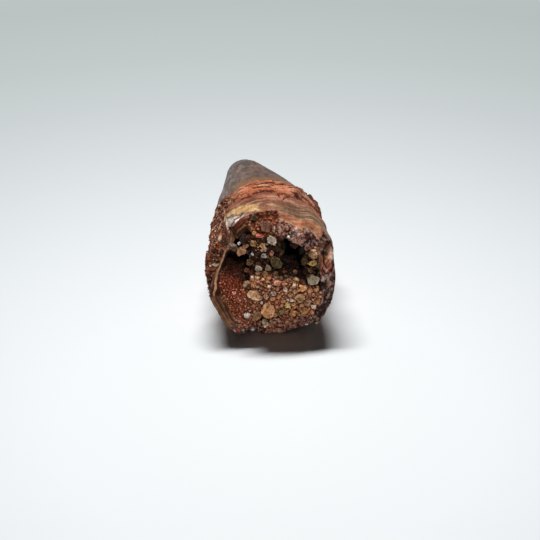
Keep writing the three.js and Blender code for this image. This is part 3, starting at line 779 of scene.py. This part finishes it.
# the coarsest grains, one by one: distance along the tooth, place across and up the cavity, half width, half
# height, colour, and 1 for a flat broken face
largeGrains = [
    (1.8, -2.6, -1.5, 0.99, 0.79, "#e6b084", 1), (1.7, -0.3, -4.2, 0.9, 1.2, "#d69a68", 1),
    (3.1, -2.2, -6, 0.70, 1.06, "#cb9766", 1), (1.1, -3.5, -4.8, 0.55, 0.55, "#efe0d0", 0),
    (2.1, -0.8, -6.8, 0.56, 0.65, "#c4ae92", 0), (2.3, 4.8, -0.6, 0.79, 0.52, "#df9860", 1),
    (1.8, 4.5, -2, 0.85, 0.70, "#c99a6c", 1), (1.9, 2.6, -3.4, 0.46, 0.46, "#e6c47a", 0),
    (1.9, 0.4, -1.3, 0.49, 0.40, "#e4c8c0", 0), (2, -0.6, -1.9, 0.34, 0.61, "#d8ae8c", 0),
    (1.8, 2.6, -2.4, 0.23, 0.23, "#f4efe6", 0), (3.1, 0.7, -6.6, 0.20, 0.20, "#f4efe6", 0),
    (2.8, 0.1, -6.9, 0.25, 0.25, "#efe6cc", 0), (2.6, -5.6, -1.7, 0.29, 0.24, "#ec9c82", 0),
    (1.8, -1.3, -3, 0.21, 0.35, "#f0e6d4", 0), (2.2, 1, 0.3, 0.55, 0.46, "#c98866", 0),
    (3.5, -3.7, -0.7, 0.55, 0.64, "#bd9472", 0), (2.9, 3.5, -5.6, 0.65, 0.50, "#cf965c", 0),
    (1.2, 5.3, -4, 0.64, 0.55, "#c98f5a", 0), (2, 6.1, -2.7, 0.20, 0.20, "#f0e6da", 0),
    (1.8, 1.8, -4.6, 0.49, 0.43, "#a8905c", 0), (5.9, 0.9, 1.7, 1.05, 0.95, "#7c6a48", 0),
    (5.3, -1.9, 1, 0.54, 0.55, "#d8c8b4", 0), (5.4, -0.4, 1.1, 0.55, 0.52, "#c2a888", 0),
    (6.3, -1.1, 3.8, 0.5, 0.4, "#d8b8a4", 0), (6.2, -1.1, 2.8, 0.45, 0.38, "#d2c6ba", 0),
    (6.5, -2.8, 3, 0.25, 0.25, "#f0e6dc", 0), (6.3, 0.2, 3.3, 0.34, 0.49, "#d89a84", 0),
    (5.3, 3.8, 0.5, 0.34, 0.34, "#ab7a5e", 0), (3.2, 3.9, 0.3, 0.41, 0.40, "#bd966e", 0),
    (2.6, 2.8, 0.5, 0.39, 0.39, "#a57c56", 0), (6.3, 0.2, 5.5, 0.85, 0.62, "#c4b4a0", 1),
    (6.7, -1.6, 6, 0.64, 0.27, "#dc8068", 0), (6.9, -2.5, 6.4, 0.40, 0.26, "#c9986c", 0),
    (7.2, -0.7, 7.4, 1, 0.88, "#8a5c44", 1), (8.8, -2.5, 7.9, 0.55, 0.55, "#5a4a2c", 0),
    (7, 0.5, 7, 0.20, 0.55, "#d6bea6", 0), (6.8, -5.7, 4, 0.7, 0.62, "#6a5240", 0),
    (6.4, -4.5, 3.4, 0.73, 0.63, "#b4825e", 1), (6.6, -3.9, 4.3, 0.44, 0.41, "#bd8c68", 0),
    (6.8, -4.8, 4.7, 0.24, 0.24, "#f0f0f0", 0), (6.2, -2.5, 5, 0.49, 0.46, "#b48c5c", 0),
    (6.3, -1.3, 4.5, 0.43, 0.34, "#d6a468", 0), (6.6, -0.5, 4.7, 0.20, 0.18, "#f4efe6", 0),
    (6.4, 5.2, 1.8, 0.66, 0.85, "#5e4c30", 0), (5.4, 6.5, 2, 0.68, 0.51, "#c29b60", 1),
    (5.7, 6.4, 3.4, 0.70, 0.64, "#b48c66", 0), (4.8, 7.4, 1.8, 0.46, 0.55, "#5f4e2c", 0),
    (4.5, 6.5, -0.4, 1.11, 0.77, "#b8aa8c", 1), (5.4, 7.5, -0.1, 0.40, 0.49, "#b49c80", 0),
    (7.4, 3.6, 4.1, 0.6, 0.6, "#4a2a20", 0), (6, 5.6, 4.3, 0.55, 0.46, "#9c6a56", 0),
    (6.3, -3.2, 1.7, 0.49, 0.46, "#9a7656", 0), (5, -3.6, 1, 0.46, 0.40, "#8a5a40", 0),
    (5.1, 2.1, 0.6, 0.37, 0.34, "#a06a4c", 0), (5.3, 6.1, 0.7, 0.37, 0.34, "#8a6a48", 0),
]

# sand of quartz and feldspar stained by iron: how many grains are tried, their radii, how near they may come
# (as a share of their radii), how far they sink in or stand out, and colours with how common each is
cavitySand = {
    "count": 15000, "radii": (0.085, 0.5), "spacing": 0.86, "sink": 0.25,
    "tones": {"#c88a5c": 0.15, "#b46a48": 0.15, "#d8a474": 0.16, "#9c5234": 0.13, "#d2a880": 0.11,
              "#c48468": 0.11, "#eccaa8": 0.08, "#8a5e40": 0.04, "#fdf0e0": 0.07},
}
rimSand = {
    "count": 1500, "radii": (0.09, 0.42), "spacing": 0.8, "sink": 0.1,
    "tones": {"#8a5042": 0.32, "#b98468": 0.2, "#6e382c": 0.26, "#cfaca0": 0.12, "#f0e2d6": 0.1},
}


# the coarse grains, then sand that keeps off them: finer and redder on the slope and at the top, larger in the
# recess over the ledge, where most grains are painted dark as shade, darkest just above the ledge
def buildFillGrains():
    s, across, up, halfWidth, halfHeight = np.array([grain[:5] for grain in largeGrains]).T
    flat = np.array([float(grain[6]) for grain in largeGrains])
    tones = np.array([linear(grain[5]) for grain in largeGrains])
    centres = place(s, across, up)
    halfWidth, halfHeight = 1.14 * halfWidth, 1.14 * halfHeight
    radii = pointsOf(halfWidth, 0.5 * (halfWidth + halfHeight), halfHeight)
    towards = np.broadcast_to(np.array([0, -0.88, 0.47]), centres.shape)
    large = buildGrains("coarse_cavity_grains", centres, radii, tones, towards, 5,
                        pointCount=700, cuts=10, flat=flat)
    keepOff = np.concatenate([centres, np.maximum(halfWidth, halfHeight)[:, None]], 1)

    across, up, depth = np.moveaxis(fillPlaces, -1, 0)
    slope = smooth(-2.4, -4.2, across) * smooth(3, 1.5, up)
    top = smooth(5.8, 6.6, up)
    mass = smooth(3.6, 5, depth) * (1 - slope) * (1 - top)
    weight = (1 - 0.35 * slope) * (1 - 0.5 * top) * (1 - 0.8 * smooth(8, 11.5, depth)) * (1 - 0.72 * mass)
    sizeWeight = 1 - 0.55 * slope - 0.3 * top + 0.45 * mass
    centres, radii, tones, outward, picks, rng = scatter(fillFront, weight, cavitySand, 7, keepOff, sizeWeight)
    across, up, slope, mass = (values.ravel()[picks] for values in (across, up, slope, mass))
    lower = smooth(0.5, -1, up)
    tones = paint(tones, 1, [
        ("#c05034", 0.75 * slope, -3.5, -0.5, up), ("#cc6c46", 0.65 * slope, -0.5, -3.5, up),
        ("#e0ac80", 0.4 * smooth(0, 3, across) * lower), ("#d07c54", 0.3 * lower),
        ("#a4502a", 0.6, 5.4, 6.4, up), ("#a0744a", 0.75 * mass * (radii > 0.22)),
        # painted shade: most grains in the recess painted near black, and dark just above the ledge
        ("#22120a", 0.92 * mass * (rng.random(len(radii)) < 0.62)),
        ("#2a160c", 0.75 * mass, 1.9, 1.1, up - ledgeBrow(across, up)),
        # painted shade in the hollows and in the strip over the slope's brow
        ("#1a0d08", 0.93 * np.maximum(paintedHollowShade(across, up), 0.8 * browShadow(across, up)))])
    return large, buildGrains("cavity_sand_grains", centres, radii, tones, outward, 9)


# sand left on the lower part of the broken wall, and a little on its upper right
def buildRimGrains():
    share = np.linspace(0, 1, len(rimGrid))[:, None]
    weight = sector(rimTurn, 238, 312, 14) + 0.25 * sector(rimTurn, 36, 78, 6)
    weight = weight * (1 - smooth(0.45, 0.7, share) * sector(rimTurn, 10, 90, 5))
    return buildGrains("rim_sand_grains", *scatter(rimGrid, weight, rimSand, 23)[:4], 25)


rimGrains = buildRimGrains()
coarseGrains, sandGrains = buildFillGrains()
print("cavity grains built:", len(coarseGrains.data.polygons), "and", len(sandGrains.data.polygons), "faces")


crustShape = {
    "columns": 400,
    "rows": 200,
    "backRows": 12,
    "thickness": 0.58,
    "start": 13.3,
    "startBumps": [(3.5, 84, 150, 8), (3, 5, 66, 18)],
    "end": 21.8,
    "endBumps": [(-0.7, 48, 68, 10)],
    "hollows": [(-0.3, 172, 225, 14, 4, 10)],
    "grooveAt": 20.1,
    "ridges": [(0.2, 21.2, 0.8), (0.12, 18.4, 1.4)],     # height, place along the tooth and half width
    "sand": {
        "count": 3600, "radii": (0.06, 0.22), "spacing": 0.7, "sink": 0.5,
        "tones": {"#843c20": 0.3, "#a25630": 0.26, "#bc7c50": 0.2, "#3e1a10": 0.16, "#f0dcc4": 0.08},
    },
}


# halfway up the root, near the break on the left
def crustStart(angle):
    wavy = crustShape["start"] + 0.4 * np.sin(3 * angle) + 0.2 * np.sin(8 * angle + 1)
    wavy = wavy + bumps(angle, crustShape["startBumps"])
    return mix(wavy, breakLine(angle) + 0.3, sector(angle, 149, 203, 7))


def crustEnd(angle):
    wavy = crustShape["end"] + bumps(angle, crustShape["endBumps"])
    return wavy + 0.2 * np.sin(5 * angle + 1) + 0.15 * np.sin(12 * angle)


# tooth radius plus a crust that swells from nothing at its start and thins at its margin; two ridges with a
# crack between them on top; pebble bumps 1-d^2 and layered noise make it sandy
def buildCrust():
    columns = crustShape["columns"]
    turn = 2 * np.pi * np.arange(columns) / columns
    share, angle = np.meshgrid(np.linspace(0, 1, crustShape["rows"]), turn, indexing="ij")
    circle = ringPoints(turn)
    start = crustStart(turn) + 0.5 * noise(circle, 1.9, 201) + 0.25 * noise(circle, 0.6, 203)
    end = crustEnd(turn) + 0.35 * noise(circle, 1.7, 205) + 0.2 * noise(circle, 0.5, 207)
    end = end + 1.3 * (1 - 0.8 * sector(turn, 60, 125, 25)) * noise(circle, 4, 209)
    s = mix(start, end, share)
    zone = partial(sector, angle)
    body = placeRound(s, angle, toothRadius(s))
    left, top, below = zone(142, 200, 20), zone(70, 150, 15), zone(200, 330, 20)
    cracked = s + 0.3 * noise(body, 1.5, 213)
    thick = crustShape["thickness"] * (0.75 + 0.35 * layeredNoise(body, 2.6, 211))
    thick = thick - 0.34 * top * band(cracked, crustShape["grooveAt"], 0.45)
    thick = thick + top * sum(height * band(s, *ridge) for height, *ridge in crustShape["ridges"])
    thick = thick + zone(12, 58, 15) * (0.35 + 0.2 * noise(body, 1.2, 215)) - 0.38 * zone(126, 160, 10)
    full = toothRadius(s) + thick + endingBumps(s, angle, crustShape["hollows"])
    front = smooth(0, 1, (s - start) / (1.3 + 3 * zone(5, 48, 18))) ** 0.7
    cover = front * smooth(0, 0.7, end - s) ** 0.6
    radius = mix(outerRadius(s, angle) - 0.15, full, cover)
    near, _, number = pebbles(body, 0.46, 221)
    farNear, _, farNumber = pebbles(body, 0.9, 225)
    sandy = mix(0.45, 1, np.maximum(left, below))
    lamella = layeredNoise(pointsOf(s, 1.6 * angle, 0), 0.55, 229)
    radius = radius + cover * sandy * (0.2 * (0.6 - near ** 2) + 0.22 * (0.5 - farNear ** 2))
    radius = radius + cover * 0.12 * layeredNoise(body, 0.7, 227) + 0.13 * cover * lamella * (1 - 0.7 * left)
    points = placeRound(s, angle, radius)

    cloud = layeredNoise(body, 2.2, 231)
    fine = layeredNoise(body, 0.6, 233)
    streak = noise(body * (0.3, 1.6, 0.3), 0.8, 235)
    side = np.maximum(left, 0.8 * below)
    tone = paint(np.zeros(points.shape), 1, [
        ("#c46e48", 1), ("#d98a68", 0.8 * zone(50, 125, 20), -0.1, 0.7, cloud),
        ("#d69a74", 0.5 * zone(40, 140, 20), 0.2, 0.8, streak),
        ("#7c4028", 0.85 * zone(10, 50, 15), -0.2, 0.6, -cloud),
        ("#8a4a34", 0.6 * zone(18, 58, 12)), ("#4a1e14", 0.7 * zone(18, 58, 12), 0, 0.45, -fine),
        ("#6d301f", 0.75, 0.1, 0.8, -fine),
        ("#551d12", 0.9 * (1 - 0.8 * left), 0.1, 0.45, -lamella),
        ("#dcae90", 0.6 * (1 - left), 0.25, 0.65, lamella),
        ("#4c1a12", 0.85 * top * band(cracked, crustShape["grooveAt"], 0.4)),
        ("#702a1e", 0.6, 0.5, 0.1, s - start)])
    tone = paint(tone, side, [
        ("#8e4024", 0.9), ("#b4603e", 0.6, 0.2, 0.7, cloud), ("#bc6c40", 0.8, 0.5, 0.85, number),
        ("#a85630", 0.6, 0.5, 0.8, farNumber), ("#240e08", 0.95, 0.36, 0.58, near),
        ("#240e08", 0.85, 0.42, 0.62, farNear), ("#240e08", 0.6, 0.15, 0.55, -fine),
        ("#ecd0ac", 0.95 * smooth(0.84, 0.88, number), -0.2, 0.2, fine)])

    sBack = mix(start, end, np.linspace(1, 0, crustShape["backRows"])[:, None])
    under = placeRound(sBack, turn, outerRadius(sBack, turn) - 0.3)
    rings = np.concatenate([points, under])
    tones = np.concatenate([tone, np.broadcast_to(linear("#5a2c1e"), under.shape)])
    faces = [ringQuads(len(rings), columns, closed=True)]
    piece = makePiece("root_sandstone_crust", rings.reshape(-1, 3), faces, {"tone": tones.reshape(-1, 3)})
    sand = scatter(points, cover * (side + 0.12), crustShape["sand"], 17)
    return piece, buildGrains("crust_sand_grains", *sand[:4], 19)


crust, crustGrains = buildCrust()
print("crust built:", len(crust.data.polygons), "and", len(crustGrains.data.polygons), "faces")


# a node with its settings (properties or values of inputs) and its links, each from a node and its output
def addNode(tree, kind, settings=None, links=None):
    node = tree.nodes.new("ShaderNode" + kind)
    for key, value in (settings or {}).items():
        if isinstance(key, str) and hasattr(node, key):
            setattr(node, key, value)
        else:
            node.inputs[key].default_value = value
    for key, (source, output) in (links or {}).items():
        tree.links.new(source.outputs[output], node.inputs[key])
    return node


# an empty material, and the function that adds a node to it
def newMaterial(name):
    material = bpy.data.materials.new(name)
    material.use_nodes = True
    material.node_tree.nodes.clear()
    return material, partial(addNode, material.node_tree)


# the end of each stone: a bump from its height, the shader and the output
def finishStone(add, height, strength, distance, settings, links):
    bump = add("Bump", {"Strength": strength, "Distance": distance}, {"Height": height})
    shader = add("BsdfPrincipled", settings, {**links, "Normal": (bump, "Normal")})
    add("OutputMaterial", None, {"Surface": (shader, "BSDF")})


multiply = {"data_type": "RGBA", "blend_type": "MULTIPLY", "Factor": 1}
middle = {"From Min": 0.3, "From Max": 0.7}


# tooth: enamel and dentine turned to apatite; satin enamel with fine long wrinkles, chalky breaks with painted
# glints
def toothMaterial():
    material, add = newMaterial("fossil_enamel_and_dentine")
    tone, rough, sparkle = (add("Attribute", {"attribute_name": key}) for key in ("tone", "rough", "sparkle"))
    here = {"Vector": (add("TexCoord"), "Object")}
    along = add("Mapping", {"Scale": (1, 0.1, 1)}, here)
    # wrinkles 0.35 mm apart along the tooth, grit of 0.3 mm and crystals of 0.25 mm on the breaks
    wrinkle = add("TexNoise", {"Scale": 2800, "Detail": 4, "Roughness": 0.6}, {"Vector": (along, "Vector")})
    grit = add("TexNoise", {"Scale": 3500, "Detail": 5, "Roughness": 0.7}, here)
    crystal = add("TexVoronoi", {"Scale": 4000}, here)
    shade = add("MapRange", {**middle, "To Min": 0.72, "To Max": 1.22}, {"Value": (wrinkle, "Fac")})
    gritShade = add("MapRange", {**middle, "To Min": 0.8, "To Max": 1.18}, {"Value": (grit, "Fac")})
    product = add("Math", {"operation": "MULTIPLY"}, {0: (shade, "Result"), 1: (gritShade, "Result")})
    shaded = add("Mix", multiply, {6: (tone, "Color"), 7: (product, "Value")})
    # painted glints: pale specks on some crystal cells, mixed into the base colour
    number = add("SeparateColor", None, {"Color": (crystal, "Color")})
    bright = add("MapRange", {"From Min": 0.8, "From Max": 0.86}, {"Value": (number, "Red")})
    glint = add("Math", {"operation": "MULTIPLY"}, {0: (bright, "Result"), 1: (sparkle, "Fac")})
    glintPart = add("Math", {"operation": "MULTIPLY", 1: 0.6}, {0: (glint, "Value")})
    colour = add("Mix", {"data_type": "RGBA", 7: linear4("#d8c6bb")}, {0: (glintPart, "Value"), 6: (shaded, 2)})
    gloss = add("MapRange", {"To Min": 0.42, "To Max": 0.8}, {"Value": (rough, "Fac")})
    height = add("Mix", {"data_type": "FLOAT"}, {0: (rough, "Fac"), 2: (wrinkle, "Fac"), 3: (grit, "Fac")})
    finishStone(add, (height, 0), 0.55, 0.00012, {"IOR": 1.55, "Specular IOR Level": 0.2},
                {"Base Color": (colour, 2), "Roughness": (gloss, "Result")})
    return material


# sandstone: quartz sand bound by iron oxide; a dull red-brown cement with grit of 0.2 mm
def sandstoneMaterial(name, gritSize):
    material, add = newMaterial(name)
    tone = add("Attribute", {"attribute_name": "tone"})
    here = {"Vector": (add("TexCoord"), "Object")}
    scale = 1 / (gritSize * millimetre)
    grit = add("TexNoise", {"Scale": scale, "Detail": 5, "Roughness": 0.7}, here)
    sand = add("TexVoronoi", {"Scale": scale}, here)
    shade = add("MapRange", {**middle, "To Min": 0.6, "To Max": 1.35}, {"Value": (grit, "Fac")})
    shaded = add("Mix", multiply, {6: (tone, "Color"), 7: (shade, "Result")})
    number = add("SeparateColor", None, {"Color": (sand, "Color")})
    pale = add("MapRange", {"From Min": 0.88, "From Max": 0.92, "To Max": 0.45}, {"Value": (number, "Red")})
    colour = add("Mix", {"data_type": "RGBA", 7: linear4("#c49a78")}, {0: (pale, "Result"), 6: (shaded, 2)})
    height = add("Math", {"operation": "SUBTRACT"}, {0: (grit, "Fac"), 1: (sand, "Distance")})
    finishStone(add, (height, "Value"), 0.7, 0.0002, {"Roughness": 0.85, "IOR": 1.5, "Specular IOR Level": 0.2},
                {"Base Color": (colour, 2)})
    return material


# quartz grain: worn and iron-stained; waxy with a small glint on its faces
def grainMaterial():
    material, add = newMaterial("iron_stained_quartz_grains")
    tone = add("Attribute", {"attribute_name": "tone"})
    here = {"Vector": (add("TexCoord"), "Object")}
    # blotches of 0.3 mm where cement still sticks to a grain, and bruises of 0.12 mm
    blotch = add("TexNoise", {"Scale": 3300, "Detail": 4, "Roughness": 0.65}, here)
    bruise = add("TexNoise", {"Scale": 8000, "Detail": 3, "Roughness": 0.6}, here)
    dust = add("MapRange", {"From Min": 0.5, "From Max": 0.62, "To Max": 0.85}, {"Value": (blotch, "Fac")})
    lift = add("MapRange", {"From Min": 0.35, "From Max": 0.65, "To Min": 0.75, "To Max": 1.6},
               {"Value": (bruise, "Fac")})
    bruised = add("Mix", multiply, {6: (tone, "Color"), 7: (lift, "Result")})
    dusty = add("Mix", {"data_type": "RGBA", "blend_type": "MULTIPLY", 7: linear4("#8a4a30")},
                {0: (dust, "Result"), 6: (bruised, 2)})
    gloss = add("MapRange", {"To Min": 0.4, "To Max": 0.8}, {"Value": (dust, "Result")})
    height = add("Math", {"operation": "ADD"}, {0: (blotch, "Fac"), 1: (bruise, "Fac")})
    finishStone(add, (height, "Value"), 0.7, 0.00012, {"IOR": 1.54, "Specular IOR Level": 0.3},
                {"Base Color": (dusty, 2), "Roughness": (gloss, "Result")})
    return material


tooth.data.materials.append(toothMaterial())
fill.data.materials.append(sandstoneMaterial("cavity_iron_sandstone", 0.22))
crust.data.materials.append(sandstoneMaterial("crust_iron_sandstone", 0.2))
grainFinish = grainMaterial()
for grains in (coarseGrains, sandGrains, rimGrains, crustGrains):
    grains.data.materials.append(grainFinish)
print("materials made")


studio = {
    "target": (-0.00083, -0.02897, 0.01285),
    "azimuth": -5.95,
    "elevation": 30,
    "distance": 0.16,
    "lens": 72,
    "sensor": 36,
    "clip": (0.005, 20),
    # a light is its direction from the target, distance, width, depth and power
    "softLight": ((-0.05, 0.515, 0.855), 1.5, 0.98, 0.25, 29.5),
    "frontLight": ((0.12, -0.66, 0.74), 0.9, 0.3, 0.18, 2.5),
    "roomColour": "#f4f7fa",
    "worldStrength": 0.027,
    "tableReach": 6.0,
    "tableLevel": -0.00002,
    "tableMiddle": (-0.002, -0.045, 0),
    # painted light falloff on the table: how far it reaches and its colours
    "paintedFalloffReach": 0.2,
    "paintedFalloffColours": {0.15: "#eef1f3", 0.3: "#dde2e4", 0.45: "#cbd0d3", 0.6: "#bbc1c2", 0.75: "#afb6b6"},
}


# painted board: matt white, with painted light falloff: a little greyer and cooler away from the tooth
def buildTable():
    mesh = bpy.data.meshes.new("table")
    reach, level = studio["tableReach"], studio["tableLevel"]
    corners = [(-reach, -reach, level), (reach, -reach, level), (reach, reach, level), (-reach, reach, level)]
    mesh.from_pydata(corners, [], [(0, 1, 2, 3)])
    table = bpy.data.objects.new("table", mesh)
    bpy.context.scene.collection.objects.link(table)
    material, add = newMaterial("matt_white_board")
    away = add("VectorMath", {"operation": "DISTANCE", 1: studio["tableMiddle"]},
               {0: (add("TexCoord"), "Object")})
    far = add("MapRange", {"From Max": studio["paintedFalloffReach"]}, {"Value": (away, "Value")})
    ramp = add("ValToRGB", None, {"Fac": (far, "Result")})
    stops = ramp.color_ramp.elements
    stops[0].color = linear4("#f2f6f7")
    stops[1].color = linear4("#a4acab")
    for share, hexText in studio["paintedFalloffColours"].items():
        stops.new(share).color = linear4(hexText)
    shader = add("BsdfPrincipled", {"Roughness": 0.9}, {"Base Color": (ramp, "Color")})
    add("OutputMaterial", None, {"Surface": (shader, "BSDF")})
    table.data.materials.append(material)


def addLight(name, direction, distance, width, depth, power):
    light = bpy.data.lights.new(name, "AREA")
    light.shape = "ELLIPSE"
    light.size = width
    light.size_y = depth
    light.energy = power
    holder = bpy.data.objects.new(name, light)
    direction = Vector(direction).normalized()
    holder.location = Vector(studio["target"]) + direction * distance
    holder.rotation_euler = direction.to_track_quat("Z", "Y").to_euler()
    bpy.context.scene.collection.objects.link(holder)
    return holder


# a wide oval light high up behind the tooth, a weak one in front, and a dim pale room
def buildLights(pieces):
    addLight("long_soft_light", *studio["softLight"])
    front = addLight("front_light", *studio["frontLight"])
    # the front light is linked to the fossil alone, so the shadow on the table stays dark
    lit = bpy.data.collections.new("front_light_receivers")
    for piece in pieces:
        lit.objects.link(piece)
    front.light_linking.receiver_collection = lit
    world = bpy.data.worlds.new("pale_room")
    world.use_nodes = True
    background = world.node_tree.nodes["Background"]
    background.inputs["Color"].default_value = linear4(studio["roomColour"])
    background.inputs["Strength"].default_value = studio["worldStrength"]
    bpy.context.scene.world = world


def buildCamera():
    azimuth, elevation = math.radians(studio["azimuth"]), math.radians(studio["elevation"])
    back = Vector((math.sin(azimuth) * math.cos(elevation), -math.cos(azimuth) * math.cos(elevation),
                   math.sin(elevation)))
    right = Vector((math.cos(azimuth), math.sin(azimuth), 0))
    camera = bpy.data.objects.new("camera", bpy.data.cameras.new("camera"))
    camera.data.lens = studio["lens"]
    camera.data.sensor_width = studio["sensor"]
    camera.data.clip_start, camera.data.clip_end = studio["clip"]
    camera.location = Vector(studio["target"]) + back * studio["distance"]
    camera.rotation_euler = Matrix((right, back.cross(right), back)).transposed().to_euler()
    bpy.context.scene.collection.objects.link(camera)
    bpy.context.scene.camera = camera


pieces = (tooth, fill, crust, coarseGrains, sandGrains, rimGrains, crustGrains)
buildTable()
buildLights(pieces)
buildCamera()
bpy.context.scene.view_settings.view_transform = "Standard"
print("table, light and camera set")


for piece in pieces:
    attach(piece, "root")
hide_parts("tooth")
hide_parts("sandstone_fill")
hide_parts("sandstone_crust")
